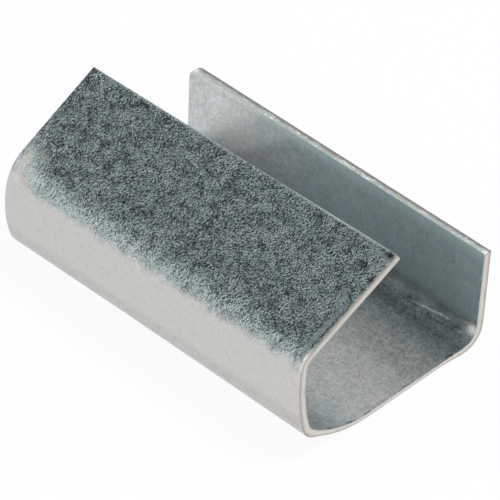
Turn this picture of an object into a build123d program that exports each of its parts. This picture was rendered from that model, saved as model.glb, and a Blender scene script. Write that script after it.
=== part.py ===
"""Semi-open strapping seal for 16 mm steel or plastic strap, before it is crimped.

One blank of zinc-plated steel strip is folded along its length into an upright flange, a flat floor that
sweeps up at its heel, a bulged leg and a flap that rises over the strap channel. The strap slides in
sideways between the flap and the flange, and lies on the floor.

X runs along the strap, Y from the leg to the flange, Z up from the face that the seal rests on. The
origin is under the middle of the seal. Sizes are in millimetres, angles in degrees.
"""

import os
from math import radians, sin

from build123d import *

# The strap that the seal is made for, and the strip that it is folded from
strap_width = 16.0
strap_play = 0.35  # how much wider the channel is at the flange's root than the strap
sheet = 0.6
length = 28.0

# Stretches of the folded strip, measured along its inside face
flap_length = 8.8
leg_length = 5.0
heel_length = 6.0
flange_length = 6.1

# Attitudes of those stretches, as they spring back after folding
flap_rise = 24.0  # flap above the horizontal
leg_lean_top = 7.0  # leg under the shoulder, away from the vertical, lower part outwards
leg_lean_foot = 13.0  # leg above the corner, lower part inwards
heel_rise = 39.0  # steepest slope of the heel, where it meets the corner
flange_lean = 5.5  # flange outwards from the vertical

# Inside radii of the three tight folds
shoulder_radius = 1.0
corner_radius = 1.1
root_radius = 1.3

# Marks of the press tool: the sheared edges are drawn round on the outside, and one corner is worn off
shear_round = 0.12
flange_corner_radius = 0.8


def section_line():
    """The strip's inside face, from the tip of the flap round to the tip of the flange."""
    flap_heading = 180 + flap_rise
    leg_top_heading = 270 - leg_lean_top
    leg_foot_heading = 270 + leg_lean_foot
    heel_heading = 360 - heel_rise
    leg_turn = leg_foot_heading - leg_top_heading
    leg_radius = leg_length / radians(leg_turn)
    heel_radius = heel_length / radians(heel_rise)
    root_turn = 90 - flange_lean

    # what the curved stretches take of the channel's width; the flat of the floor is what is left
    leg_run = leg_radius * (1 + sin(radians(leg_foot_heading)))
    corner_run = corner_radius * (sin(radians(heel_heading)) - sin(radians(leg_foot_heading)))
    heel_run = -heel_radius * sin(radians(heel_heading))
    root_run = root_radius * sin(radians(root_turn))
    floor_flat = strap_width + strap_play - leg_run - corner_run - heel_run - root_run

    flap_direction = Vector(1, 0).rotate(Axis.Z, flap_heading)
    with BuildLine() as line:
        flap = Line((0, 0), flap_direction * flap_length)
        shoulder = JernArc(flap @ 1, flap % 1, shoulder_radius, leg_top_heading - flap_heading)
        leg = JernArc(shoulder @ 1, shoulder % 1, leg_radius, leg_turn)
        corner = JernArc(leg @ 1, leg % 1, corner_radius, heel_heading - leg_foot_heading)
        heel = JernArc(corner @ 1, corner % 1, heel_radius, heel_rise)
        floor = Line(heel @ 1, (heel @ 1) + (heel % 1) * floor_flat)
        root = JernArc(floor @ 1, floor % 1, root_radius, root_turn)
        Line(root @ 1, (root @ 1) + (root % 1) * flange_length)
    return line.line


def place_section(inside):
    """Sets the inside line upright across the strap: outline on the ground, centred over the origin."""
    outline = offset(inside, amount=sheet, side=Side.RIGHT)
    box = outline.bounding_box()
    to_ground = Location((-box.center().X, -box.min.Y))
    return Plane.YZ * inside.moved(to_ground), Plane.YZ * make_face(outline).moved(to_ground)


def wear_flange_corner(strip):
    """Rounds the corner of the flange's free edge at the far end, where it is worn."""
    across_sheet = strip.edges().filter_by(lambda edge: abs(edge.length - sheet) < sheet / 100)
    far_end = across_sheet.group_by(Axis.X)[0]
    return fillet(far_end.sort_by(Axis.Y)[-1], flange_corner_radius)


def round_outer_rims(strip, inside):
    """Rounds the outer rim of the cut ends and of both free edges, where the shear drew the sheet over."""
    touch = sheet / 100

    def is_outer_rim(edge):
        middle = edge @ 0.5
        on_section = Vector(0, middle.Y, middle.Z)
        at_cut_end = abs(abs(middle.X) - length / 2) < touch
        at_free_edge = min((on_section - tip).length for tip in (inside @ 0, inside @ 1)) < sheet + touch
        return (at_cut_end or at_free_edge) and inside.distance_to(on_section) > sheet - touch

    return fillet(strip.edges().filter_by(is_outer_rim), min(shear_round, sheet / 3))


def make_seal():
    """The strip's section drawn out to the seal's length, with its sheared rims and its worn corner."""
    inside, section = place_section(section_line())
    strip = extrude(section, amount=length / 2, both=True)
    return round_outer_rims(wear_flange_corner(strip), inside)


os.makedirs("parts", exist_ok=True)
seal = make_seal()
export_step(seal, "parts/seal.step")
print("seal", seal.bounding_box(), "volume", seal.volume)
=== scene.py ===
"""Semi-open strapping seal and the small studio that it stands in.

One blank of zinc-plated strip is folded along its length: flap, shoulder, leg, corner, heel, floor, root and
flange. X runs along the strap, Y from the leg to the flange, Z up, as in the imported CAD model. The near end
is at +X. The far end has sprung back a little more than the near end, as a long fold does when the press
leaves it. Lengths in this file are in metres and angles in radians, where a name doesn't say otherwise.
"""

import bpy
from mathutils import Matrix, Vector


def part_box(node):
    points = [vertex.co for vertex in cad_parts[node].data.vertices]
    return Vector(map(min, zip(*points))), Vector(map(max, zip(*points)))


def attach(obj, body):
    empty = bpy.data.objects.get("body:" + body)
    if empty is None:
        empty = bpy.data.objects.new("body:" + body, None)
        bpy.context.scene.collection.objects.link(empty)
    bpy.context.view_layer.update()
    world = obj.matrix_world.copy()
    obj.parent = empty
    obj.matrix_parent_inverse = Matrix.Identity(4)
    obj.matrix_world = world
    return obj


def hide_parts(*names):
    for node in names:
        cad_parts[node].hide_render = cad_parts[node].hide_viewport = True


bl_info = {
    "name": "Strapping seal",
    "version": (1, 0, 0),
    "blender": (4, 5, 0),
    "location": "View3D > Sidebar > Seal",
    "description": "Builds a semi-open strapping seal of zinc-plated steel and a plain studio",
    "category": "Object",
}

from functools import partial
from math import cos, pi, radians, sin

import bmesh
import bpy
from mathutils import Matrix, Vector

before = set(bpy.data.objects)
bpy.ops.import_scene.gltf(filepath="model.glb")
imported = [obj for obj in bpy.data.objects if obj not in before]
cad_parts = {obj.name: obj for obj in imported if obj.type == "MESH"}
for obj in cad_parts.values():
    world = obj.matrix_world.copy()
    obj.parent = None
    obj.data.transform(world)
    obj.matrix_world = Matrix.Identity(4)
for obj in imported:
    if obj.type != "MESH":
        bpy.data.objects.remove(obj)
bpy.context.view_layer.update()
SEAL_LOW, SEAL_HIGH = (Vector(corner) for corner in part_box("seal"))

MM = 0.001
DEPTH = "depth"  # point attribute: 0 on the inside of the sheet, 1 on its outside
STRIP_MAP = "strip"  # UV map in metres: along the strap, and across the folded strip from the flap's tip
INSIDE, OUTSIDE, SHEARED, SLIT = 0, 1, 2, 3  # the seal's materials, in their order on the mesh


# Colours and nodes


def linear(code):
    """Turns a colour written as an sRGB hex value into the linear values that Blender works in."""
    channels = [int(code[i : i + 2], 16) / 255 for i in (1, 3, 5)]
    return tuple(c / 12.92 if c <= 0.04045 else ((c + 0.055) / 1.055) ** 2.4 for c in channels)


def add_node(tree, kind, sockets=None, **settings):
    """Adds a node, sets its settings, and gives each named or numbered socket a value or a link.

    A name means the socket that the settings leave in use, and a node given as a value gives its first
    output in use.
    """
    node = tree.nodes.new(kind)
    for name, value in settings.items():
        setattr(node, name, value)
    for name, value in (sockets or {}).items():
        if isinstance(value, bpy.types.Node):
            value = next(output for output in value.outputs if output.enabled)
        if isinstance(name, str):
            socket = next(socket for socket in node.inputs if socket.enabled and socket.name == name)
        else:
            socket = node.inputs[name]
        if isinstance(value, bpy.types.NodeSocket):
            tree.links.new(value, socket)
        else:
            socket.default_value = value
    return node


def per_metre(size_mm):
    """A noise or cell pattern's scale, for features of this size in millimetres."""
    return 1 / (size_mm * MM)


# What a user would change


def distance_property(name, description, default):
    """A length that a user can set, in metres."""
    return bpy.props.FloatProperty(
        name=name, description=description, subtype="DISTANCE", unit="LENGTH", default=default, precision=5,
    )


def angle_property(name, description, degrees):
    """An angle that a user can set."""
    return bpy.props.FloatProperty(
        name=name, description=description, subtype="ANGLE", unit="ROTATION", default=radians(degrees),
    )


def colour_property(name, description, code):
    """A colour that a user can set, from its sRGB hex value."""
    return bpy.props.FloatVectorProperty(
        name=name, description=description, subtype="COLOR", size=3, default=linear(code), min=0, max=1,
    )


class SealSizes(bpy.types.PropertyGroup):
    """The strip and its folds at the near end, measured along the inside face."""

    length: distance_property("Length", "Length of the seal along the strap", SEAL_HIGH.x - SEAL_LOW.x)
    sheet: distance_property("Sheet", "Thickness of the strip", 0.6 * MM)
    channel: distance_property(
        "Channel", "Inside width from the leg to the root of the flange", 16.35 * MM,
    )
    flap_length: distance_property("Flap", "Width of the flat flap", 8.8 * MM)
    leg_length: distance_property("Leg", "Height of the bulged leg", 5.0 * MM)
    heel_length: distance_property("Heel", "Width of the floor's swept part", 6.0 * MM)
    flange_length: distance_property("Flange", "Height of the flat flange", 6.1 * MM)
    flap_rise: angle_property("Flap rise", "Slope of the flap", 24)
    leg_lean_top: angle_property("Leg lean at the top", "Lean of the leg under the shoulder", 7)
    leg_lean_foot: angle_property("Leg lean at the foot", "Lean of the leg above the corner", 13)
    heel_rise: angle_property("Heel rise", "Steepest slope of the heel", 39)
    flange_lean: angle_property("Flange lean", "Lean of the flange outwards", 5.5)
    shoulder_radius: distance_property("Shoulder radius", "Inside radius of the shoulder", 1.0 * MM)
    corner_radius: distance_property("Corner radius", "Inside radius of the corner", 1.1 * MM)
    root_radius: distance_property("Root radius", "Inside radius of the flange's root", 1.3 * MM)
    shear_round: distance_property(
        "Shear round", "Radius of the outer rims, drawn over by the shear", 0.12 * MM,
    )
    worn_corner: distance_property(
        "Worn corner", "Radius of the flange's worn corner at the far end", 0.8 * MM,
    )
    floor_drawn_over: distance_property(
        "Floor drawn over", "How far the near end's cut face slants back under the floor", 0.25 * MM,
    )


class SealFarEnd(bpy.types.PropertyGroup):
    """How the far end differs from the near end after springing back."""

    flap_opens: angle_property("Flap opens", "How much more the flap rises", 2.25)
    flap_shorter: distance_property(
        "Flap shorter", "What the wider shoulder takes of the flat flap", 1.43 * MM,
    )
    shoulder_wider: distance_property(
        "Shoulder wider", "Added to the shoulder's inside radius", 1.5 * MM,
    )
    leg_bulges: angle_property("Leg bulges", "How much more the leg is curved", 11.8)
    leg_shorter: distance_property("Leg shorter", "What the wider shoulder takes of the leg", 0.45 * MM)
    corner_tighter: distance_property(
        "Corner tighter", "Taken off the corner's inside radius", 0.36 * MM,
    )
    floor_wider: distance_property("Floor wider", "Added to the flat of the floor", 0.39 * MM)
    flange_closes: angle_property("Flange closes", "How much less the flange leans", 3.04)
    flange_lower: distance_property("Flange lower", "How much the flange is lower", 0.45 * MM)


class SealFinish(bpy.types.PropertyGroup):
    """Colours and grain of the zinc and of the sheared steel."""

    zinc: colour_property("Zinc", "Colour of the zinc's crystals", "#e6eaea")
    pits: colour_property("Pits", "Colour of the pits between the crystals", "#2c3537")
    rubbed: colour_property("Rubbed zinc", "Colour of the zinc where the tool rubbed it smooth", "#cfcecb")
    sheared: colour_property("Sheared steel", "Colour of the cut faces", "#dcdad6")
    stain: colour_property("Stain", "Colour of the small dark spots", "#33271f")
    grain: distance_property("Grain", "Size of the zinc's grain", 0.059 * MM)


class SealStudio(bpy.types.PropertyGroup):
    """The camera and the light around the seal."""

    lens: bpy.props.FloatProperty(
        name="Lens", description="Focal length, for a sensor 36 mm wide", subtype="DISTANCE_CAMERA",
        default=485.28,
    )
    distance: bpy.props.FloatProperty(
        name="Distance", description="From the camera to the point that it looks at", subtype="DISTANCE",
        unit="LENGTH", default=443.915 * MM,
    )
    aim: bpy.props.FloatVectorProperty(
        name="Aim", description="Point that the camera looks at", subtype="TRANSLATION", unit="LENGTH",
        size=3, default=(5.0158 * MM, -4.6386 * MM, 10.7724 * MM), precision=5,
    )
    turn: bpy.props.FloatProperty(
        name="Turn", description="How far the view is turned from the strap's line", subtype="ANGLE",
        unit="ROTATION", default=radians(44.894),
    )
    elevation: bpy.props.FloatProperty(
        name="Elevation", description="How steeply the camera looks down", subtype="ANGLE",
        unit="ROTATION", default=radians(41.378),
    )
    lamp: bpy.props.FloatProperty(
        name="Lamp", description="Power of the overhead lamp", subtype="POWER", unit="POWER", default=1.7,
    )
    shadow: bpy.props.FloatProperty(
        name="Shadow", description="Share of the floor that shows the lamps' light and the shadow",
        subtype="FACTOR", default=0.07, min=0, max=1,
    )


# The folded strip


def folds(sizes, far=None):
    """The strip's stretches from the flap's tip to the flange's tip: (length, turn), along the inside."""
    lean_foot = sizes.leg_lean_foot
    flap_rise, flap, shoulder_radius = sizes.flap_rise, sizes.flap_length, sizes.shoulder_radius
    leg, leg_turn = sizes.leg_length, sizes.leg_lean_top + lean_foot
    corner_radius, flange, flange_lean = sizes.corner_radius, sizes.flange_length, sizes.flange_lean
    leg_radius = leg / leg_turn
    heel_radius = sizes.heel_length / sizes.heel_rise
    floor = (
        sizes.channel
        - leg_radius * (1 - cos(lean_foot))
        - corner_radius * (cos(lean_foot) - sin(sizes.heel_rise))
        - heel_radius * sin(sizes.heel_rise)
        - sizes.root_radius * sin(pi / 2 - flange_lean)
    )
    shoulder_turn = pi / 2 - flap_rise - sizes.leg_lean_top
    corner_turn = pi / 2 - lean_foot - sizes.heel_rise
    if far:
        flap_rise += far.flap_opens
        flap -= far.flap_shorter
        shoulder_radius += far.shoulder_wider
        leg -= far.leg_shorter
        leg_turn += far.leg_bulges
        corner_radius -= far.corner_tighter
        floor += far.floor_wider
        flange -= far.flange_lower
        flange_lean -= far.flange_closes
        shoulder_turn -= far.flap_opens + far.leg_bulges / 2
        corner_turn -= far.leg_bulges / 2
    return flap_rise, [
        (flap, 0),
        (shoulder_radius * shoulder_turn, shoulder_turn),
        (leg, leg_turn),
        (corner_radius * corner_turn, corner_turn),
        (sizes.heel_length, sizes.heel_rise),
        (floor, 0),
        (sizes.root_radius * (pi / 2 - flange_lean), pi / 2 - flange_lean),
        (flange, 0),
    ]


def section_points(sizes, far=None, step=0.05 * MM):
    """The inside line as points in (y, z), placed as the CAD section is: leg at the low side, floor at 0."""
    flap_rise, stretches = folds(sizes, far)
    heading, point = pi + flap_rise, Vector((0, 0))
    points, outside = [point.copy()], []
    for length, turn in stretches:
        count = max(2, round(length / step))
        for _ in range(count):
            outside.append(point + sizes.sheet * Vector((sin(heading), -cos(heading))))
            middle = heading + turn / count / 2
            point = point + length / count * Vector((cos(middle), sin(middle)))
            heading += turn / count
            points.append(point.copy())
    shift = Vector((SEAL_LOW.y - min(p.x for p in outside), -min(p.y for p in outside)))
    return [p + shift for p in points]


def section_curve(name, points):
    """A poly curve through the section's points, in the plane across the strap."""
    curve = bpy.data.curves.new(name, "CURVE")
    curve.dimensions = "3D"
    spline = curve.splines.new("POLY")
    spline.points.add(len(points) - 1)
    for target, point in zip(spline.points, points):
        target.co = (0, point.x, point.y, 1)
    guide = bpy.data.objects.new(name, curve)
    bpy.context.scene.collection.objects.link(guide)
    return guide


def strip_tree():
    """Geometry Nodes: a grid laid on the strip's folded face, between the near end's and far end's section.

    The flange's worn corner is rounded by drawing the grid's corner square in to a quarter disc.
    """
    tree = bpy.data.node_groups.new("folded_strip", "GeometryNodeTree")
    for name, kind, value in (
        ("Near Section", "NodeSocketObject", None),
        ("Far Section", "NodeSocketObject", None),
        ("Length", "NodeSocketFloat", 28 * MM),
        ("Strip Width", "NodeSocketFloat", 38 * MM),
        ("Worn Corner", "NodeSocketFloat", 0.8 * MM),
        ("Crowding", "NodeSocketFloat", 0.09),
        ("Cells Along", "NodeSocketInt", 110),
        ("Cells Across", "NodeSocketInt", 190),
        ("Wave Size", "NodeSocketFloat", 3 * MM),
        ("Wave Height", "NodeSocketFloat", 0.012 * MM),
        ("Seed", "NodeSocketFloat", 7.0),
        ("Material", "NodeSocketMaterial", None),
    ):
        socket = tree.interface.new_socket(name, in_out="INPUT", socket_type=kind)
        if value is not None:
            socket.default_value = value
    tree.interface.new_socket("Strip", in_out="OUTPUT", socket_type="NodeSocketGeometry")
    add = partial(add_node, tree)
    given = add("NodeGroupInput").outputs

    columns, rows = (
        add("ShaderNodeMath", {0: given[name], 1: 1.0}, operation="ADD")
        for name in ("Cells Along", "Cells Across")
    )
    grid = add("GeometryNodeMeshGrid", {
        "Size X": 1.0, "Size Y": 1.0, "Vertices X": columns, "Vertices Y": rows,
    })
    place = add("ShaderNodeSeparateXYZ", {0: add("GeometryNodeInputPosition")})

    # the grid's lines crowd together near the strip's edges, where the rims and the worn corner need them
    parts = []
    for axis in "XY":
        part = add("ShaderNodeMath", {0: place.outputs[axis], 1: 0.5}, operation="ADD")
        turn = add("ShaderNodeMath", {0: part, 1: 2 * pi}, operation="MULTIPLY")
        sway = add("ShaderNodeMath", {0: turn}, operation="SINE")
        moved = add("ShaderNodeMath", {0: sway, 1: given["Crowding"]}, operation="MULTIPLY")
        parts.append(add("ShaderNodeMath", {0: part, 1: moved}, operation="SUBTRACT"))

    # distances from the far end and from the flange's free edge, and how far they are into the corner square
    other_side = add("ShaderNodeMath", {0: 1.0, 1: parts[1]}, operation="SUBTRACT")
    away = [
        add("ShaderNodeMath", {0: parts[0], 1: given["Length"]}, operation="MULTIPLY"),
        add("ShaderNodeMath", {0: other_side, 1: given["Strip Width"]}, operation="MULTIPLY"),
    ]
    into = []
    for distance in away:
        share = add("ShaderNodeMath", {0: distance, 1: given["Worn Corner"]}, operation="DIVIDE")
        left = add("ShaderNodeMath", {0: 1.0, 1: share}, operation="SUBTRACT")
        into.append(add("ShaderNodeMath", {0: left, 1: 0.0}, operation="MAXIMUM"))
    for i, (mine, other) in enumerate((into, into[::-1])):
        squared = add("ShaderNodeMath", {0: other, 1: other}, operation="MULTIPLY")
        half = add("ShaderNodeMath", {0: squared, 1: 0.5}, operation="MULTIPLY")
        rest = add("ShaderNodeMath", {0: 1.0, 1: half}, operation="SUBTRACT")
        narrower = add("ShaderNodeMath", {0: rest}, operation="SQRT")
        lost = add("ShaderNodeMath", {0: 1.0, 1: narrower}, operation="SUBTRACT")
        lost = add("ShaderNodeMath", {0: lost, 1: mine}, operation="MULTIPLY")
        drawn_in = add("ShaderNodeMath", {0: lost, 1: given["Worn Corner"]}, operation="MULTIPLY")
        away[i] = add("ShaderNodeMath", {0: away[i], 1: drawn_in}, operation="ADD")
    along = add("ShaderNodeMath", {0: away[0], 1: given["Length"]}, operation="DIVIDE")
    from_flange = add("ShaderNodeMath", {0: away[1], 1: given["Strip Width"]}, operation="DIVIDE")
    across = add("ShaderNodeMath", {0: 1.0, 1: from_flange}, operation="SUBTRACT")

    ends = []
    for name in ("Far Section", "Near Section"):
        guide = add("GeometryNodeObjectInfo", {"Object": given[name]}).outputs["Geometry"]
        sample = add("GeometryNodeSampleCurve", {"Curves": guide, "Factor": across}, mode="FACTOR")
        ends.append(sample.outputs["Position"])
    between = add("ShaderNodeMix", {"Factor": along, "A": ends[0], "B": ends[1]}, data_type="VECTOR")
    centred = add("ShaderNodeMath", {0: along, 1: 0.5}, operation="SUBTRACT")
    x = add("ShaderNodeMath", {0: centred, 1: given["Length"]}, operation="MULTIPLY")
    slid = add("ShaderNodeCombineXYZ", {0: x})
    folded = add("ShaderNodeVectorMath", {0: between, 1: slid}, operation="ADD")

    # the map is written before the grid is folded, while its place on the flat strip is still known
    from_flap = add("ShaderNodeMath", {0: across, 1: given["Strip Width"]}, operation="MULTIPLY")
    mapped = add(
        "GeometryNodeStoreNamedAttribute",
        {
            "Geometry": grid.outputs["Mesh"],
            "Name": STRIP_MAP,
            "Value": add("ShaderNodeCombineXYZ", {"X": x, "Y": from_flap}),
        },
        data_type="FLOAT2", domain="CORNER",
    )
    shaped = add("GeometryNodeSetPosition", {"Geometry": mapped, "Position": folded})

    # gentle waves that the rolls and the press left in the sheet
    swell = add(
        "ShaderNodeTexNoise",
        {
            "W": given["Seed"],
            "Scale": add("ShaderNodeMath", {0: 1.0, 1: given["Wave Size"]}, operation="DIVIDE"),
            "Detail": 1.0,
            "Vector": add("GeometryNodeInputPosition"),
        },
        noise_dimensions="4D",
    )
    height = add("ShaderNodeMath", {0: swell, 1: given["Wave Height"]}, operation="MULTIPLY")
    outwards = add("GeometryNodeInputNormal")
    push = add("ShaderNodeVectorMath", {0: outwards, "Scale": height}, operation="SCALE")
    waved = add("GeometryNodeSetPosition", {"Geometry": shaped, "Offset": push})
    smooth = add("GeometryNodeSetShadeSmooth", {"Geometry": waved})
    real = add("GeometryNodeRealizeInstances", {"Geometry": smooth})
    finished = add("GeometryNodeSetMaterial", {"Geometry": real, "Material": given["Material"]})
    add("NodeGroupOutput", {"Strip": finished})
    return tree


def plain_mesh(piece):
    """Applies every modifier of the piece and leaves it as a plain mesh."""
    depsgraph = bpy.context.evaluated_depsgraph_get()
    mesh = bpy.data.meshes.new_from_object(piece.evaluated_get(depsgraph), depsgraph=depsgraph)
    piece.modifiers.clear()
    piece.data = mesh
    return mesh


def eased(share):
    """Goes from 0 to 1 as share does, with a soft start and end."""
    share = min(share, 1)
    return share**2 * (3 - 2 * share)


def draw_over(mesh, sizes, width):
    """At the near end the shear drew the floor's outside over: the cut face slants back from the inside."""
    floor_start = sizes.flap_length + sizes.leg_length + 1.8 * MM
    floor_end = width - sizes.flange_length - 0.4 * MM
    fade_in, fade_out, reach = 1.5 * MM, 4 * MM, 1.6 * MM
    across = {}
    for polygon in mesh.polygons:
        for loop in polygon.loop_indices:
            across[mesh.loops[loop].vertex_index] = mesh.uv_layers[STRIP_MAP].data[loop].uv.y
    for index, vertex in enumerate(mesh.vertices):
        if index < len(mesh.vertices) // 2:  # the inside keeps its place
            continue
        into_floor = min((across[index] - floor_start) / fade_in, (floor_end - across[index]) / fade_out)
        near = 1 - (sizes.length / 2 - vertex.co.x) / reach
        if into_floor > 0 and near > 0:
            vertex.co.x -= sizes.floor_drawn_over * eased(into_floor) * eased(near)


def finish_edges(mesh, sizes):
    """Tells slit edges from sheared ends, rounds the outer rims, and dulls the inner ones a little."""
    shape = bmesh.new()
    shape.from_mesh(mesh)
    for face in shape.faces:
        if face.material_index == SHEARED and abs(face.normal.x) < 0.5:
            face.material_index = SLIT
    rims = {OUTSIDE: [], INSIDE: []}
    for edge in shape.edges:
        kinds = {face.material_index for face in edge.link_faces}
        for side in rims:
            if side in kinds and kinds & {SHEARED, SLIT}:
                rims[side].append(edge)
    if not all(rims.values()):
        raise RuntimeError("the strip has no rims to round")
    for side, radius, segments in ((OUTSIDE, sizes.shear_round, 3), (INSIDE, sizes.shear_round / 4, 2)):
        live = [edge for edge in rims[side] if edge.is_valid]
        bmesh.ops.bevel(
            shape, geom=live, offset=radius, offset_type="OFFSET", segments=segments, profile=0.5,
            affect="EDGES", material=side, clamp_overlap=True, loop_slide=True,
        )
    for face in shape.faces:
        face.smooth = True
    for vertex in shape.verts:  # a wave's crest never stands out of the strip's own envelope
        vertex.co = Vector(min(max(v, a), b) for v, a, b in zip(vertex.co, SEAL_LOW, SEAL_HIGH))
    shape.to_mesh(mesh)
    shape.free()


# Finishes, all drawn on the strip's own map


def new_material(name):
    """An empty material, and the function that adds nodes to it."""
    material = bpy.data.materials.new(name)
    material.use_nodes = True
    material.node_tree.nodes.clear()
    return material, partial(add_node, material.node_tree)


def cover_with_metal(add, colour, height, relief, roughness, metallic=1.0):
    """Ends a material with its metal surface, which stands up by relief where the height is 1."""
    bump = add("ShaderNodeBump", {"Height": height, "Strength": 1.0, "Distance": relief})
    shader = add("ShaderNodeBsdfPrincipled", {
        "Base Color": colour, "Metallic": metallic, "Roughness": roughness, "Normal": bump,
    })
    add("ShaderNodeOutputMaterial", {"Surface": shader})


def set_stops(ramp, stops):
    """Gives a colour ramp its stops, in rising order, each a position and a linear colour."""
    while len(ramp.elements) < len(stops):
        ramp.elements.new(1.0)
    for element, (position, colour) in zip(ramp.elements, stops):
        element.position, element.color = position, (*colour, 1)


def lay_marks(add, colour, strip, ragged, paint, marks):
    """Lays small marks with ragged, soft edges over a colour, and returns the new colour and their cover.

    Each mark is (along, across, half length, half width, turn in degrees, strength), in millimetres.
    """
    cover = 0.0
    for along, across, half_length, half_width, turn, strength in marks:
        inside = add("ShaderNodeMapping", {
            "Vector": strip, "Location": (along * MM, across * MM, 0), "Rotation": (0, 0, radians(turn)),
            "Scale": (half_length * MM, half_width * MM, 1),
        }, vector_type="TEXTURE")
        reach = add("ShaderNodeVectorMath", {0: inside}, operation="LENGTH")
        reach = add("ShaderNodeMath", {0: ragged, 1: 2.0, 2: reach}, operation="MULTIPLY_ADD")  # adds about 1
        mark = add("ShaderNodeMapRange", {
            "Value": reach, "From Min": 1.4, "From Max": 2.15, "To Min": strength, "To Max": 0.0,
        })
        cover = add("ShaderNodeMath", {0: mark, 1: cover}, operation="MAXIMUM")
        colour = add("ShaderNodeMix", {"Factor": mark, "A": colour, "B": (*paint, 1)}, data_type="RGBA")
    return colour, cover


def grain_noises(add, place, size):
    """The grain's noises, fine, clusters, patches and clouds, and the painted light and shade on its
    crystals.

    The painted light and shade is the grain a little further on less the grain here: each crystal has a
    painted highlight on one side and painted shade on the other. They are in the colour because real slopes
    this small are smoothed away in the picture.
    """
    next_place, next_cluster_place = (
        add("ShaderNodeVectorMath", {0: place, 1: Vector(step) * size}, operation="ADD")
        for step in ((0.5, 0, 0), (0.6, 0.2, 0))
    )
    fine, clusters, patches, clouds, next_fine, next_clusters = (
        add("ShaderNodeTexNoise", {
            "Vector": where, "Scale": scale, "Detail": detail, "Roughness": rough, "Distortion": warp,
        }, noise_dimensions="2D")
        for where, scale, detail, rough, warp in (
            (place, 1 / size, 3.0, 0.65, 0.0),
            (place, 0.4 / size, 3.0, 0.65, 0.3),
            (place, per_metre(0.8), 3.0, 0.6, 0.5),
            (place, per_metre(2.6), 2.0, 0.5, 0.0),
            (next_place, 1 / size, 3.0, 0.65, 0.0),
            (next_cluster_place, 0.4 / size, 3.0, 0.65, 0.3),
        )
    )
    painted_facet_shading = add("ShaderNodeMath", {0: next_clusters, 1: clusters}, operation="SUBTRACT")
    painted_facet_shading = add("ShaderNodeMath", {0: painted_facet_shading, 1: 2.2, 2: next_fine}, operation="MULTIPLY_ADD")
    painted_facet_shading = add("ShaderNodeMath", {0: painted_facet_shading, 1: fine}, operation="SUBTRACT")
    return fine, clusters, patches, clouds, painted_facet_shading


def zinc_cracks(add, place, clusters):
    """Short cracks between the clusters, where the zinc froze last: 0 to 1."""
    bent = add("ShaderNodeTexNoise", {"Vector": place, "Scale": per_metre(0.22), "Detail": 1.0},
               noise_dimensions="2D")
    bent = add("ShaderNodeVectorMath", {0: bent.outputs["Color"], 1: (0.35 * MM, 0.35 * MM, 0), 2: place},
               operation="MULTIPLY_ADD")
    seams = add("ShaderNodeTexVoronoi", {"Vector": bent, "Scale": per_metre(0.42)},
                voronoi_dimensions="2D", feature="DISTANCE_TO_EDGE")
    seams = add("ShaderNodeMapRange", {"Value": seams, "From Max": 0.14, "To Min": 1.0, "To Max": 0.0})
    broken = add("ShaderNodeMapRange", {
        "Value": clusters, "From Min": 0.5, "From Max": 0.64, "To Min": 1.0, "To Max": 0.0,
    })
    return add("ShaderNodeMath", {0: seams, 1: broken}, operation="MULTIPLY")


def tool_zones(add, x, across, fine, patches, sizes):
    """Where the folding tool went over the strip: a ragged place across it, how frosted, how polished."""
    end, fold = sizes.length / 2, sizes.flap_length
    ragged = add("ShaderNodeMath", {0: patches, 1: 0.5 * MM, 2: across}, operation="MULTIPLY_ADD")
    dotted = add("ShaderNodeMath", {0: fine, 1: 0.2 * MM, 2: ragged}, operation="MULTIPLY_ADD")
    at_far_end = add("ShaderNodeMapRange", {
        "Value": x, "From Min": -end, "From Max": 3.2 * MM - end, "To Min": 2.1 * MM, "To Max": 0.0,
    }, interpolation_type="SMOOTHSTEP")
    frosted = add("ShaderNodeMapRange", {
        "Value": add("ShaderNodeMath", {0: at_far_end, 1: 0.3, 2: dotted}, operation="MULTIPLY_ADD"),
        "From Min": fold + 0.5 * MM, "From Max": fold + 1.5 * MM, "To Min": 1.0, "To Max": 0.0,
    }, interpolation_type="SMOOTHSTEP")
    polished = add("ShaderNodeMapRange", {
        "Value": add("ShaderNodeMath", {0: at_far_end, 1: ragged}, operation="ADD"),
        "From Min": fold - 1.1 * MM, "From Max": fold + 0.8 * MM,
    }, interpolation_type="SMOOTHSTEP")
    return ragged, frosted, polished


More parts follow.
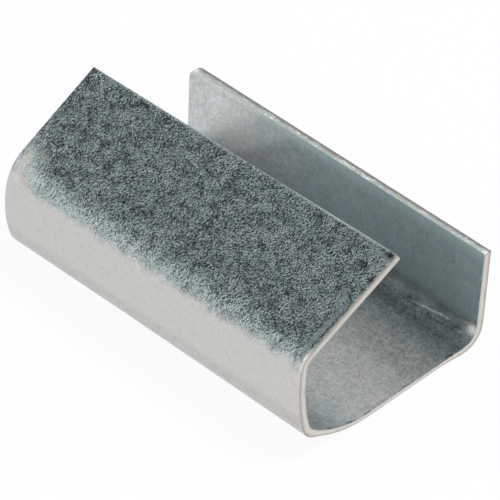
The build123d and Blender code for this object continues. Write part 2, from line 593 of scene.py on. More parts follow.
def frost_tone(add, x, to_edge, noises, crystal, relief, cracks, polished, pressed):
    """Tone of the frosted zinc, from its pits at 0 to its crystals at 1."""
    _, clusters, patches, clouds, painted_facet_shading = noises
    # how strongly the grain shows: it changes over the flap and fades where it was pressed flat
    gain = add("ShaderNodeMath", {0: clouds, 1: 2.112, 2: 0.616}, operation="MULTIPLY_ADD")
    uneven = add("ShaderNodeMapRange", {
        "Value": patches, "From Min": 0.38, "From Max": 0.6, "To Min": 0.55, "To Max": 1.45,
    })
    for share in (pressed, uneven):
        gain = add("ShaderNodeMath", {0: gain, 1: share}, operation="MULTIPLY")
    depth = add("ShaderNodeMath", {0: relief, 1: 1.3}, operation="SUBTRACT")
    # painted highlights and painted shade on each crystal's slopes, over the tone of its height
    slopes = add("ShaderNodeMath", {0: painted_facet_shading, 1: 1.818, 2: depth}, operation="MULTIPLY_ADD")
    tone = add("ShaderNodeMath", {0: slopes, 1: gain, 2: 0.435}, operation="MULTIPLY_ADD")

    lift = add("ShaderNodeMath", {0: patches, 1: 0.5}, operation="SUBTRACT")
    # painted sheen: the polished shoulder is made lighter, more so towards the far end, where it turns to the
    # pale horizon
    painted_sheen = add("ShaderNodeMapRange", {
        "Value": x, "From Min": -9 * MM, "From Max": 8 * MM, "To Min": 0.5, "To Max": 0.24,
    })
    # now and then a crystal is painted bright, a painted glint as if it lay flat and caught the light
    painted_glint = add("ShaderNodeMapRange", {"Value": crystal, "From Min": 0.93, "To Max": 0.5})
    opened = add("ShaderNodeMath", {0: cracks, 1: pressed}, operation="MULTIPLY")
    # painted highlight along the flap's free edge and the near end's rim, where their rounding catches the
    # light
    to_rim = add("ShaderNodeMath", {0: clusters, 1: 0.2 * MM, 2: to_edge}, operation="MULTIPLY_ADD")
    painted_rim_highlight = add("ShaderNodeMapRange", {
        "Value": to_rim, "From Min": 0.18 * MM, "From Max": 0.34 * MM, "To Min": 1.0, "To Max": 0.0,
    })
    for effect, share in ((lift, 0.9), (polished, painted_sheen), (painted_glint, 1.0), (opened, -0.65), (painted_rim_highlight, 0.5)):
        tone = add("ShaderNodeMath", {0: effect, 1: share, 2: tone}, operation="MULTIPLY_ADD")
    return add("ShaderNodeMath", {0: tone, 1: 1.4}, operation="POWER", use_clamp=True)


def rubbed_satin(add, strip, fine, patches, ragged, finish, sizes):
    """Colour of the rubbed leg, with painted shade above the corner, and the drag lines that the tool left on
    it.
    """
    fold = sizes.flap_length
    drag_place = add("ShaderNodeVectorMath", {0: strip, 1: (1.0, 0.45, 0.0)}, operation="MULTIPLY")
    drag = add("ShaderNodeTexNoise", {"Vector": drag_place, "Scale": per_metre(0.16), "Detail": 3.0},
               noise_dimensions="2D")
    # painted shade: the leg is darkened above the corner, where it mirrors the shadow at the seal's foot
    painted_leg_shade = add("ShaderNodeMapRange", {
        "Value": ragged, "From Min": fold + 4.4 * MM, "From Max": fold + 5.4 * MM, "To Max": 0.12,
    }, interpolation_type="SMOOTHSTEP")
    streaks = add("ShaderNodeMath", {0: drag, 1: fine}, operation="ADD")
    streaks = add("ShaderNodeMath", {0: patches, 1: 0.6, 2: streaks}, operation="MULTIPLY_ADD")  # about 1.3
    streaks = add("ShaderNodeMath", {0: streaks, 1: 0.34, 2: 0.54}, operation="MULTIPLY_ADD")
    streaks = add("ShaderNodeMath", {0: streaks, 1: painted_leg_shade}, operation="SUBTRACT")
    satin = add("ShaderNodeMix", {"Factor": streaks, "A": (0, 0, 0, 1), "B": (*finish.rubbed, 1)},
                data_type="RGBA")
    # a faint play of warm and cool
    cast = add("ShaderNodeTexNoise", {"Vector": strip, "Scale": per_metre(0.35), "Detail": 4.0},
               noise_dimensions="2D")
    cast = add("ShaderNodeMapRange", {"Value": cast, "From Min": 0.35, "From Max": 0.65})
    cast = add("ShaderNodeMix", {
        "Factor": cast, "A": (*linear("#fffcfb"), 1), "B": (*linear("#fafcfe"), 1),
    }, data_type="RGBA")
    satin = add("ShaderNodeMix", {"Factor": 1.0, "A": satin, "B": cast}, data_type="RGBA",
                blend_type="MULTIPLY")
    return satin, drag


def zinc_outside(finish, sizes):
    """Zinc-plated steel strip, outside. The frosted flap has dark pits and bright crystals in clusters.

    Over the shoulder the crystals were pressed flat and polished, and the leg was rubbed to a pale satin by
    the tool.
    """
    material, add = new_material("zinc_plated_steel_frosted")
    strip = add("ShaderNodeUVMap", uv_map=STRIP_MAP)
    place = add("ShaderNodeSeparateXYZ", {0: strip})
    x, across = place.outputs["X"], place.outputs["Y"]
    fold = sizes.flap_length

    # the grain's own place: squeezed over the shoulder, so the crystals look a little longer there
    squeezed = add("ShaderNodeMapRange", {
        "Value": across, "From Min": fold - 0.6 * MM, "From Max": fold + 1.2 * MM, "To Max": 0.3 * MM,
    })
    grain_place = add("ShaderNodeCombineXYZ", {
        "X": x, "Y": add("ShaderNodeMath", {0: across, 1: squeezed}, operation="SUBTRACT"),
    })
    noises = grain_noises(add, grain_place, finish.grain)
    fine, clusters, patches, clouds, _ = noises
    cells = add("ShaderNodeTexVoronoi", {"Vector": grain_place, "Scale": 0.85 / finish.grain},
                voronoi_dimensions="2D", feature="F1")
    crystal = add("ShaderNodeSeparateColor", {0: cells.outputs["Color"]})
    relief = add("ShaderNodeMath", {0: clusters, 1: 0.85, 2: fine}, operation="MULTIPLY_ADD")
    relief = add("ShaderNodeMath", {0: crystal, 1: 0.75, 2: relief}, operation="MULTIPLY_ADD")  # about 1.3
    cracks = zinc_cracks(add, grain_place, clusters)

    ragged, frosted, polished = tool_zones(add, x, across, fine, patches, sizes)
    pressed = add("ShaderNodeMapRange", {"Value": polished, "From Min": 0.2, "To Min": 1.0, "To Max": 0.5})
    to_near_end = add("ShaderNodeMath", {0: sizes.length / 2, 1: x}, operation="SUBTRACT")
    to_edge = add("ShaderNodeMath", {0: to_near_end, 1: across}, operation="MINIMUM")
    tone = frost_tone(add, x, to_edge, noises, crystal, relief, cracks, polished, pressed)
    frost = add("ShaderNodeMix", {"Factor": tone, "A": (*finish.pits, 1), "B": (*finish.zinc, 1)},
                data_type="RGBA")
    tint = add("ShaderNodeValToRGB", {0: clouds})
    tints = ((0.34, "#e8f5f6"), (0.5, "#e7f6f6"), (1.0, "#ffffff"))
    set_stops(tint.color_ramp, [(position, linear(code)) for position, code in tints])
    frost = add("ShaderNodeMix", {"Factor": 1.0, "A": frost, "B": tint}, data_type="RGBA",
                blend_type="MULTIPLY")
    satin, drag = rubbed_satin(add, strip, fine, patches, ragged, finish, sizes)
    colour = add("ShaderNodeMix", {"Factor": frosted, "A": satin, "B": frost}, data_type="RGBA")

    blister_and_scrapes = (
        (4.7, 3.35, 0.3, 0.42, 0, 0.45), (13.45, 6.9, 0.24, 2.3, 3, 0.85), (13.0, 4.6, 0.2, 0.9, 3, 0.7),
        (13.5, 0.55, 1.6, 0.22, 0, 0.6),
    )
    pale_patches = (
        (-13.3, 8.3, 0.5, 1.0, 0, 0.7), (-12.4, 8.7, 0.8, 0.5, 30, 0.45), (-12.2, 7.3, 0.7, 0.4, 20, 0.3),
    )
    dark_scrapes = ((13.78, 6.2, 0.12, 1.6, 2, 0.6), (13.1, 7.2, 0.1, 1.2, 4, 0.5))
    # painted highlight along the flap's rim at the near end
    painted_near_rim_highlight = ((14.0, 4.6, 0.14, 5.2, 0, 0.8),)
    # painted highlight: a pale line along the flap's free edge, where its rounding catches the light
    painted_free_edge_highlight = ((9.2, 0.0, 5.6, 0.16, 0, 0.8), (-3.2, 0.0, 3.4, 0.1, 0, 0.45))
    rust_and_dirt = (
        (13.6, 0.3, 0.34, 0.26, 30, 1.0), (13.3, 0.3, 0.14, 0.14, 0, 0.8), (13.74, 2.42, 0.2, 0.36, 0, 0.95),
        (13.8, 3.3, 0.12, 0.3, 0, 0.6), (-13.8, 0.2, 0.22, 0.3, 0, 0.7), (13.88, 5.1, 0.08, 0.22, 0, 0.5),
    )
    # painted glint: a white spot on the shoulder's rim at the near end
    painted_shoulder_glint = ((13.97, 9.1, 0.22, 0.6, 0, 1.0),)
    for paint, marks, edge in (
        (linear("#9fadae"), blister_and_scrapes, fine),
        (linear("#e4ded4"), pale_patches, patches),
        (linear("#465356"), dark_scrapes, fine),
        (linear("#ddd7d3"), painted_near_rim_highlight, fine),
        (linear("#dfe8ea"), painted_free_edge_highlight, fine),
        (finish.stain, rust_and_dirt, fine),
        (linear("#f6f6f2"), painted_shoulder_glint, fine),
    ):
        colour, _ = lay_marks(add, colour, strip, edge, paint, marks)

    # each crystal stands up as a small dome among the pits
    dome = add("ShaderNodeMath", {0: cells, 1: -1.2, 2: relief}, operation="MULTIPLY_ADD")
    dome = add("ShaderNodeMath", {0: cracks, 1: -0.6, 2: dome}, operation="MULTIPLY_ADD")
    flattened = add("ShaderNodeMath", {0: frosted, 1: pressed}, operation="MULTIPLY")
    height = add("ShaderNodeMath", {0: dome, 1: flattened}, operation="MULTIPLY")
    height = add("ShaderNodeMath", {0: drag, 1: 0.04, 2: height}, operation="MULTIPLY_ADD")
    roughness = add("ShaderNodeMapRange", {"Value": frosted, "To Min": 0.33, "To Max": 0.28})
    cover_with_metal(add, colour, height, relief=0.11 * MM, roughness=roughness)
    return material


def inside_tone(add, x, across, to_edge, on_flange, grain, patches, width, root):
    """Tone of the zinc inside, 0 to 1: its painted shade, darkest in the flange's root, its grain, and the
    painted reflection that pales the flange.
    """
    # the patches shift it by about 0.4 mm
    swept = add("ShaderNodeMath", {0: patches, 1: 0.8 * MM, 2: across}, operation="MULTIPLY_ADD")
    swept = add("ShaderNodeMath", {0: swept, 1: width}, operation="DIVIDE")
    painted_light_and_shade = add("ShaderNodeValToRGB", {0: swept})
    # painted light and shade: paler on the heel, darkest in the flange's root where shade falls, paler again
    # on the flange
    levels = (
        (14.5 * MM, 0.6), (19 * MM, 0.8), (24 * MM, 0.72), (root - 3.4 * MM, 0.42), (root - 1.7 * MM, 0.2),
        (root - 0.7 * MM, 0.17), (root + 0.1 * MM, 0.46), (root + MM, 0.87),
    )
    set_stops(painted_light_and_shade.color_ramp, [(at / width, (level, level, level)) for at, level in levels])
    to_root = add("ShaderNodeMath", {0: across, 1: root - 1.2 * MM}, operation="SUBTRACT")
    to_root = add("ShaderNodeMath", {0: to_root}, operation="ABSOLUTE")
    rough = add("ShaderNodeMapRange", {
        "Value": to_root, "From Min": 0.6 * MM, "From Max": 3 * MM, "To Min": 0.48, "To Max": 0.8,
    })
    rough = add("ShaderNodeMath", {0: on_flange, 1: -0.25, 2: rough}, operation="MULTIPLY_ADD")
    tone = add("ShaderNodeMath", {0: grain, 1: 1.05}, operation="SUBTRACT")
    tone = add("ShaderNodeMath", {0: tone, 1: rough, 2: painted_light_and_shade}, operation="MULTIPLY_ADD")

    # painted reflection: a paler zone covers the flange's far end and narrows to a band under its free edge
    pale_width = add("ShaderNodeMapRange", {
        "Value": x, "From Min": -10 * MM, "From Max": -4.2 * MM, "To Min": 5.4 * MM, "To Max": 0.7 * MM,
    })
    beyond = add("ShaderNodeMath", {0: to_edge, 1: pale_width}, operation="SUBTRACT")
    beyond = add("ShaderNodeMath", {0: patches, 1: 0.8 * MM, 2: beyond}, operation="MULTIPLY_ADD")
    pale = add("ShaderNodeMapRange", {
        "Value": beyond, "From Min": -0.1 * MM, "From Max": 0.9 * MM, "To Min": 0.24, "To Max": 0.0,
    }, interpolation_type="SMOOTHSTEP")
    far_dim = add("ShaderNodeMapRange", {
        "Value": x, "From Min": -13 * MM, "From Max": 2 * MM, "To Min": 0.5, "To Max": 0.0,
    })
    pale = add("ShaderNodeMath", {0: pale, 1: far_dim}, operation="SUBTRACT")
    tone = add("ShaderNodeMath", {0: pale, 1: on_flange, 2: tone}, operation="MULTIPLY_ADD")
    # the flange is a little paler along its free edge
    near_edge = add("ShaderNodeMapRange", {
        "Value": to_edge, "From Min": 0.1 * MM, "From Max": 0.6 * MM, "To Min": 0.15, "To Max": 0.0,
    }, interpolation_type="SMOOTHSTEP")
    return add("ShaderNodeMath", {0: tone, 1: near_edge}, operation="ADD", use_clamp=True)


def inside_film(add, strip, x, across, to_edge, clusters, colour, root):
    """Tints the inside by its passivated film, and returns the colour and how hazy the film is.

    The film is bluish on the flange, towards the near end, and warm on the floor.
    """
    reach = add("ShaderNodeMapRange", {
        "Value": x, "From Min": -9 * MM, "From Max": -1 * MM, "To Min": 0.15,
    })
    past_floor = add("ShaderNodeMapRange", {
        "Value": across, "From Min": root - 2 * MM, "From Max": root + 0.4 * MM,
    })
    film = add("ShaderNodeMath", {0: past_floor, 1: reach}, operation="MULTIPLY")
    hue = add("ShaderNodeTexNoise", {
        "Vector": strip, "Scale": per_metre(1.1), "Detail": 3.0, "Roughness": 0.6,
    }, noise_dimensions="2D")
    hue = add("ShaderNodeMapRange", {"Value": hue, "From Min": 0.35, "From Max": 0.65})
    hue = add("ShaderNodeMix", {
        "Factor": hue, "A": (*linear("#ddf4fe"), 1), "B": (*linear("#d8f4f0"), 1),
    }, data_type="RGBA")
    colour = add("ShaderNodeMix", {"Factor": film, "A": colour, "B": hue}, data_type="RGBA",
                 blend_type="MULTIPLY")
    warm = add("ShaderNodeMapRange", {
        "Value": across, "From Min": 17 * MM, "From Max": 23 * MM, "To Min": 0.2, "To Max": 0.9,
    })
    before_root = add("ShaderNodeMapRange", {
        "Value": across, "From Min": root - 4 * MM, "From Max": root - 1.6 * MM, "To Min": 1.0, "To Max": 0.0,
    })
    warm = add("ShaderNodeMath", {0: warm, 1: before_root}, operation="MULTIPLY")
    colour = add("ShaderNodeMix", {"Factor": warm, "A": colour, "B": (*linear("#fff3ee"), 1)},
                 data_type="RGBA", blend_type="MULTIPLY")

    # it scatters a little of the light, more so towards the near end and beside the free edge
    hazy = add("ShaderNodeMapRange", {
        "Value": x, "From Min": -1 * MM, "From Max": 14 * MM, "To Min": 0.11, "To Max": 0.24,
    })
    hazy = add("ShaderNodeMath", {0: film, 1: hazy}, operation="MULTIPLY")
    beside_edge = add("ShaderNodeMapRange", {
        "Value": add("ShaderNodeMath", {0: clusters, 1: 0.9 * MM, 2: to_edge}, operation="MULTIPLY_ADD"),
        "From Min": 0.6 * MM, "From Max": 1.6 * MM, "To Min": 0.4, "To Max": 0.0,
    }, interpolation_type="SMOOTHSTEP")
    return colour, add("ShaderNodeMath", {0: hazy, 1: beside_edge}, operation="MAXIMUM")


def zinc_inside(sizes, width):
    """Zinc-plated steel strip, inside: satin with a soft grain, painted shade in the root and a few
    scratches.
    """
    material, add = new_material("zinc_plated_steel_satin")
    strip = add("ShaderNodeUVMap", uv_map=STRIP_MAP)
    place = add("ShaderNodeSeparateXYZ", {0: strip})
    x, across = place.outputs["X"], place.outputs["Y"]
    fine, clusters, patches = (
        add("ShaderNodeTexNoise", {
            "Vector": strip, "Scale": per_metre(size), "Detail": 2.0, "Roughness": 0.6,
        }, noise_dimensions="2D")
        for size in (0.11, 0.36, 1.5)
    )
    grain = add("ShaderNodeMath", {0: clusters, 1: 0.7, 2: fine}, operation="MULTIPLY_ADD")
    grain = add("ShaderNodeMath", {0: patches, 1: 0.4, 2: grain}, operation="MULTIPLY_ADD")  # about 1.05
    root = width - sizes.flange_length  # where the root's bend ends and the flange begins
    to_edge = add("ShaderNodeMath", {0: width, 1: across}, operation="SUBTRACT")
    on_flange = add("ShaderNodeMapRange", {
        "Value": across, "From Min": root - 0.6 * MM, "From Max": root + 0.8 * MM,
    })
    tone = inside_tone(add, x, across, to_edge, on_flange, grain, patches, width, root)
    colour = add("ShaderNodeMix", {
        "Factor": tone, "A": (*linear("#444a4d"), 1), "B": (*linear("#f4f5f5"), 1),
    }, data_type="RGBA")
    colour, bruised = inside_film(add, strip, x, across, to_edge, clusters, colour, root)

    # painted shade beside the root's creases; grime along the cut of the near end and in small nicks on the
    # flange
    colour, _ = lay_marks(add, colour, strip, fine, linear("#33302c"), (
        (6.6, 30.7, 1.8, 0.5, 0, 0.3), (10.05, 31.05, 0.2, 0.16, 0, 0.6), (11.6, 31.0, 2.2, 0.1, 4, 0.35),
        (13.9, 17.5, 0.1, 0.35, 0, 0.7), (13.9, 19.6, 0.1, 0.45, 0, 0.75), (13.9, 21.2, 0.08, 0.5, 0, 0.6),
        (13.9, 24.5, 0.06, 0.9, 0, 0.5), (13.86, 29.1, 0.1, 0.5, 0, 0.75), (12.4, 29.4, 0.3, 0.2, 0, 0.25),
        (10.6, 34.9, 0.22, 0.1, 70, 0.3), (11.3, 36.2, 0.14, 0.08, 50, 0.35),
        (7.6, 35.2, 0.18, 0.08, 60, 0.25),
    ))
    # where the zinc is bruised white: the root's creases, partly a painted highlight; a painted highlight on
    # the spot where they end; and scratches
    creases = (
        (13.55, 31.75, 0.8, 0.7, 0, 0.4), (13.0, 32.0, 0.7, 0.12, 8, 0.4), (11.9, 32.3, 1.8, 0.05, 3, 0.3),
        (12.9, 31.2, 0.3, 0.12, 20, 0.3),
    )
    painted_highlight_spot = ((13.72, 31.85, 0.5, 0.45, 0, 1.0),)
    scratches = (
        (10.2, 31.38, 1.9, 0.09, 6, 0.5), (10.9, 31.5, 0.14, 0.12, 0, 0.6), (11.5, 31.5, 0.1, 0.1, 0, 0.5),
        (9.4, 31.3, 0.12, 0.08, 0, 0.5), (8.5, 29.5, 0.55, 0.06, -4, 0.35),
        (9.7, 27.2, 0.45, 0.06, -14, 0.25),
        (6.9, 29.2, 0.35, 0.05, 35, 0.25), (11.6, 24.4, 0.5, 0.05, 40, 0.2), (3.2, 25.6, 0.9, 0.05, 20, 0.2),
        (-6.5, 27.9, 1.4, 0.05, -12, 0.2), (-9.0, 22.0, 0.8, 0.05, 30, 0.2),
    )
    for code, marks in (("#f2f2ee", creases), ("#ffffff", painted_highlight_spot), ("#f2f2ee", scratches)):
        colour, cover = lay_marks(add, colour, strip, fine, linear(code), marks)
        bruised = add("ShaderNodeMath", {0: bruised, 1: cover}, operation="MAXIMUM")
    # the zinc has flaked in short dashes along the free edge
    flakes = edge_flakes(add, x, add("ShaderNodeMath", {0: to_edge, 1: 0.15 * MM}, operation="ADD"))
    colour = add("ShaderNodeMix", {"Factor": flakes, "A": colour, "B": (*linear("#ecece8"), 1)},
                 data_type="RGBA")
    bruised = add("ShaderNodeMath", {0: bruised, 1: flakes}, operation="MAXIMUM")

    # bruised zinc, and the painted highlights at the root, scatter light as a pale powder does
    metallic = add("ShaderNodeMath", {0: 1.0, 1: bruised}, operation="SUBTRACT")
    cover_with_metal(add, colour, grain, relief=0.014 * MM, roughness=0.38, metallic=metallic)
    return material


def edge_flakes(add, x, from_rim):
    """Short bright dashes along the flange's free edge, where the slitting bruised the zinc: 0 to 1."""
    place = add("ShaderNodeCombineXYZ", {
        "X": add("ShaderNodeMath", {0: x, 1: 0.4}, operation="MULTIPLY"), "Y": from_rim,
    })
    dashes = add("ShaderNodeTexNoise", {
        "Vector": place, "Scale": per_metre(0.16), "Detail": 2.0, "Roughness": 0.7,
    }, noise_dimensions="2D")
    groups = add("ShaderNodeTexNoise", {"W": x, "Scale": per_metre(1.8), "Detail": 1.0},
                 noise_dimensions="1D")
    dashes = add("ShaderNodeMath", {0: groups, 1: 0.6, 2: dashes}, operation="MULTIPLY_ADD")  # about 0.8
    dashes = add("ShaderNodeMapRange", {"Value": dashes, "From Min": 0.82, "From Max": 1.02})
    near = add("ShaderNodeMapRange", {
        "Value": from_rim, "From Min": 0.25 * MM, "From Max": 0.5 * MM, "To Min": 0.85, "To Max": 0.0,
    })
    return add("ShaderNodeMath", {0: dashes, 1: near}, operation="MULTIPLY")


def sheared_layers(add, along, through, stops, line_length, layers, detail, rough, wander):
    """Colour through a cut face, from the sheet's inside at 0 to its outside at 1, and the lines on it.

    The lines are about line_length millimetres long, and so many layers of them go through the sheet. They
    shift the colours by up to half of wander, as a part of the sheet.
    """
    drawn_out = add("ShaderNodeCombineXYZ", {
        "X": add("ShaderNodeMath", {0: along, 1: per_metre(line_length)}, operation="MULTIPLY"),
        "Y": add("ShaderNodeMath", {0: through, 1: layers}, operation="MULTIPLY"),
    })
    lines = add("ShaderNodeTexNoise", {
        "Vector": drawn_out, "Scale": 1.0, "Detail": detail, "Roughness": rough,
    }, noise_dimensions="2D")
    shift = add("ShaderNodeMath", {0: lines, 1: 0.5}, operation="SUBTRACT")
    shift = add("ShaderNodeMath", {0: shift, 1: wander, 2: through}, operation="MULTIPLY_ADD")
    ramp = add("ShaderNodeValToRGB", {0: shift})
    set_stops(ramp.color_ramp, [(position, linear(code)) for position, code in stops])
    return ramp, lines


def sheared_steel(finish):
    """Bare cut faces of the two ends: pale, with fine lines and a brown line at the outside."""
    material, add = new_material("sheared_steel")
    through = add("ShaderNodeAttribute", attribute_name=DEPTH).outputs["Fac"]
    across = add("ShaderNodeSeparateXYZ", {0: add("ShaderNodeUVMap", uv_map=STRIP_MAP)}).outputs["Y"]
    stops = (
        (0.0, "#dcd6cc"), (0.18, "#f6f2ea"), (0.32, "#ffffff"), (0.6, "#fafaf8"), (0.68, "#cbc4bd"),
        (0.76, "#f6f0e8"), (0.97, "#a0968a"),
    )
    colour, lines = sheared_layers(
        add, across, through, stops, line_length=1.0, layers=7.0, detail=3.0, rough=0.6, wander=0.2,
    )
    tone = add("ShaderNodeMapRange", {"Value": lines, "From Min": 0.3, "From Max": 0.6, "To Min": 0.7})
    colour = add("ShaderNodeMix", {"Factor": 1.0, "A": colour, "B": (*finish.sheared, 1)}, data_type="RGBA",
                 blend_type="MULTIPLY")
    colour = add("ShaderNodeMix", {"Factor": tone, "A": (*linear("#8f8b86"), 1), "B": colour},
                 data_type="RGBA")
    cover_with_metal(add, colour, lines, relief=0.02 * MM, roughness=0.32)
    return material


def slit_edge(sheet):
    """The strip's two long edges, slit before plating: a pale sheared half and a darker torn half."""
    material, add = new_material("zinc_plated_slit_edge")
    through = add("ShaderNodeAttribute", attribute_name=DEPTH).outputs["Fac"]
    x = add("ShaderNodeSeparateXYZ", {0: add("ShaderNodeUVMap", uv_map=STRIP_MAP)}).outputs["X"]
    stops = ((0.0, "#c4c6c2"), (0.3, "#d6d6d2"), (0.5, "#c2c0bb"), (0.62, "#a09c97"), (1.0, "#8f8b87"))
    colour, lines = sheared_layers(
        add, x, through, stops, line_length=1.2, layers=6.0, detail=4.0, rough=0.65, wander=0.7,
    )
    flakes = edge_flakes(add, x, add("ShaderNodeMath", {0: through, 1: sheet}, operation="MULTIPLY"))
    colour = add("ShaderNodeMix", {"Factor": flakes, "A": colour, "B": (*linear("#f2f2ee"), 1)},
                 data_type="RGBA")
    metallic = add("ShaderNodeMath", {0: 1.0, 1: flakes}, operation="SUBTRACT")
    cover_with_metal(add, colour, lines, relief=0.03 * MM, roughness=0.4, metallic=metallic)
    return material


# Operators


class OBJECT_OT_strapping_seal(bpy.types.Operator):
    """Folds the strip of zinc-plated steel into the seal"""

    bl_idname = "object.strapping_seal"
    bl_label = "Strapping seal"

    def execute(self, context):
        sizes, far, finish = context.scene.seal_sizes, context.scene.seal_far_end, context.scene.seal_finish
        near_points = section_points(sizes)
        guides = [
            section_curve("near_section", near_points),
            section_curve("far_section", section_points(sizes, far)),
        ]
        width = sum((b - a).length for a, b in zip(near_points, near_points[1:]))

        finishes = (
            zinc_inside(sizes, width), zinc_outside(finish, sizes), sheared_steel(finish),
            slit_edge(sizes.sheet),
        )
        seal = bpy.data.objects.new("folded_seal", bpy.data.meshes.new("folded_seal"))
        context.scene.collection.objects.link(seal)
        tree = strip_tree()
        fold = seal.modifiers.new("fold", "NODES")
        fold.node_group = tree
        items = tree.interface.items_tree
        sockets = {item.name: item.identifier for item in items if item.in_out == "INPUT"}
        for name, value in (
            ("Near Section", guides[0]),
            ("Far Section", guides[1]),
            ("Length", sizes.length),
            ("Strip Width", width),
            ("Worn Corner", sizes.worn_corner),
            ("Material", finishes[INSIDE]),
        ):
            fold[sockets[name]] = value
        mesh = plain_mesh(seal)
        for guide in guides:
            curve = guide.data
            bpy.data.objects.remove(guide)
            bpy.data.curves.remove(curve)
        if not mesh.polygons:
            raise RuntimeError("the folded strip has no faces")

        mesh.materials.clear()
        for material in finishes:
            mesh.materials.append(material)
        wall = seal.modifiers.new("sheet", "SOLIDIFY")
        wall.thickness = sizes.sheet
        wall.offset = -1.0
        wall.use_even_offset = True
        wall.material_offset = OUTSIDE
        wall.material_offset_rim = SHEARED
        mesh = plain_mesh(seal)
        half = len(mesh.vertices) // 2  # the inside's vertices come first, then the outside's
        depth = mesh.attributes.new(DEPTH, "FLOAT", "POINT")
        depth.data.foreach_set("value", [0.0] * half + [1.0] * (len(mesh.vertices) - half))
        draw_over(mesh, sizes, width)
        finish_edges(mesh, sizes)

        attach(seal, "root")
        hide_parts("seal")
        return {"FINISHED"}


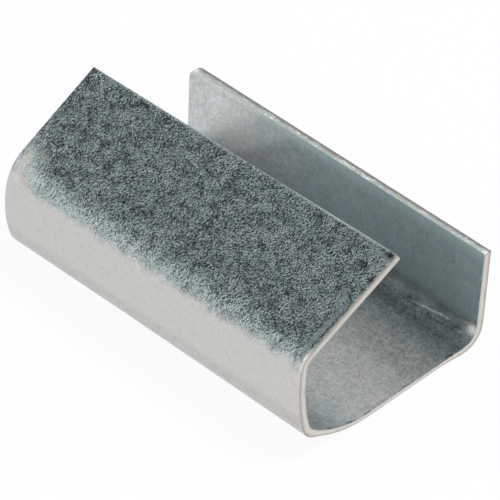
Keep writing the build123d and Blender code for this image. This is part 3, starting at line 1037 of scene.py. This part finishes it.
class SCENE_OT_seal_studio(bpy.types.Operator):
    """Sets up the floor, the soft light and the camera"""

    bl_idname = "scene.seal_studio"
    bl_label = "Plain studio"

    def execute(self, context):
        studio = context.scene.seal_studio
        self.lay_floor(context.scene, studio)
        self.light(context.scene, studio)
        self.point_camera(context.scene, studio)
        context.scene.view_settings.view_transform = "Standard"
        return {"FINISHED"}

    def lay_floor(self, scene, studio):
        """A wide white floor that still takes the seal's soft shadow."""
        mesh = bpy.data.meshes.new("floor")
        reach = 6.0
        corners = [(-reach, -reach, 0), (reach, -reach, 0), (reach, reach, 0), (-reach, reach, 0)]
        mesh.from_pydata(corners, [], [(0, 1, 2, 3)])
        floor = bpy.data.objects.new("floor", mesh)
        scene.collection.objects.link(floor)
        material, add = new_material("matt_white_board")
        path = add("ShaderNodeLightPath")
        seen = path.outputs["Is Camera Ray"]
        for other in ("Is Glossy Ray", "Is Transmission Ray"):
            seen = add("ShaderNodeMath", {0: seen, 1: path.outputs[other]}, operation="MAXIMUM")
        share = add("ShaderNodeMath", {0: seen, 1: 1 - studio.shadow}, operation="MULTIPLY")
        board = add("ShaderNodeBsdfDiffuse", {"Color": (*linear("#f4f4f4"), 1)})
        glow = add("ShaderNodeEmission", {"Color": (1, 1, 1, 1), "Strength": 1.0})
        mix = add("ShaderNodeMixShader", {0: share, 1: board, 2: glow})
        add("ShaderNodeOutputMaterial", {"Surface": mix})
        mesh.materials.append(material)

    def light(self, scene, studio):
        """A pale horizon that darkens upwards, and one broad soft lamp overhead."""
        world = bpy.data.worlds.new("studio")
        scene.world = world
        world.use_nodes = True
        world.node_tree.nodes.clear()
        add = partial(add_node, world.node_tree)
        direction = add("ShaderNodeTexCoord").outputs["Generated"]
        up = add("ShaderNodeSeparateXYZ", {0: direction}).outputs["Z"]
        shade = add("ShaderNodeValToRGB", {0: up})
        # by height: the pale horizon, the dimmer room above it, a little cool, and the ceiling
        levels = (
            (0.0, "#ffffff"), (0.2, "#e6e9ea"), (0.5, "#b4bcbe"), (0.66, "#a1abae"), (0.84, "#808b8e"),
            (1.0, "#7d888b"),
        )
        set_stops(shade.color_ramp, [(height, linear(code)) for height, code in levels])
        # the room is lighter beyond the far end than at the near end
        lighter_side = (-0.9, -0.3, 0.0)
        facing = add("ShaderNodeVectorMath", {0: direction, 1: lighter_side}, operation="DOT_PRODUCT")
        slant = add("ShaderNodeMath", {0: facing, 1: 0.9, 2: 1.0}, operation="MULTIPLY_ADD")
        slant = add("ShaderNodeMath", {0: slant, 1: 0.25}, operation="MAXIMUM")
        pale = add("ShaderNodeVectorMath", {0: shade, "Scale": slant}, operation="SCALE")
        pale = add("ShaderNodeVectorMath", {0: pale, 1: (1.0, 1.0, 1.0)}, operation="MINIMUM")
        back = add("ShaderNodeBackground", {"Color": pale, "Strength": 1.1})
        add("ShaderNodeOutputWorld", {"Surface": back})

        lamp = bpy.data.lights.new("overhead_lamp", "AREA")
        lamp.shape = "DISK"
        lamp.size = 0.25
        lamp.energy = studio.lamp
        holder = bpy.data.objects.new("overhead_lamp", lamp)
        holder.location = (0.16, 0.1, 0.42)
        holder.rotation_euler = (-holder.location).to_track_quat("-Z", "Y").to_euler()
        scene.collection.objects.link(holder)

    def point_camera(self, scene, studio):
        """A long lens, level with the ground, that looks along the strap and across it."""
        turn, down = studio.turn, studio.elevation
        right = Vector((sin(turn), cos(turn), 0))
        ahead = Vector((-cos(turn) * cos(down), sin(turn) * cos(down), -sin(down)))
        camera = bpy.data.cameras.new("camera")
        camera.lens = studio.lens
        camera.sensor_width = 36
        camera.clip_start = 0.01
        holder = bpy.data.objects.new("camera", camera)
        axes = Matrix((right, right.cross(ahead), -ahead)).transposed()
        stand = Vector(studio.aim) - studio.distance * ahead
        holder.matrix_world = Matrix.Translation(stand) @ axes.to_4x4()
        scene.collection.objects.link(holder)
        scene.camera = holder


class VIEW3D_PT_strapping_seal(bpy.types.Panel):
    """Lists the seal's sizes, finish and studio, and the buttons that build them"""

    bl_idname = "VIEW3D_PT_strapping_seal"
    bl_label = "Strapping seal"
    bl_space_type = "VIEW_3D"
    bl_region_type = "UI"
    bl_category = "Seal"

    def draw(self, context):
        for title, group, operator in (
            ("Seal", context.scene.seal_sizes, OBJECT_OT_strapping_seal),
            ("Far end", context.scene.seal_far_end, None),
            ("Finish", context.scene.seal_finish, None),
            ("Studio", context.scene.seal_studio, SCENE_OT_seal_studio),
        ):
            box = self.layout.box()
            box.label(text=title)
            for name in group.bl_rna.properties.keys():
                if name not in ("rna_type", "name"):
                    box.prop(group, name)
            if operator:
                box.operator(operator.bl_idname)


GROUPS = {
    "seal_sizes": SealSizes,
    "seal_far_end": SealFarEnd,
    "seal_finish": SealFinish,
    "seal_studio": SealStudio,
}
CLASSES = (*GROUPS.values(), OBJECT_OT_strapping_seal, SCENE_OT_seal_studio, VIEW3D_PT_strapping_seal)


def register():
    for each in CLASSES:
        bpy.utils.register_class(each)
    for name, group in GROUPS.items():
        setattr(bpy.types.Scene, name, bpy.props.PointerProperty(type=group))


def unregister():
    for name in GROUPS:
        delattr(bpy.types.Scene, name)
    for each in reversed(CLASSES):
        bpy.utils.unregister_class(each)


def main():
    """Builds the studio and the seal."""
    register()
    bpy.ops.scene.seal_studio()
    bpy.ops.object.strapping_seal()


if __name__ == "__main__":
    main()
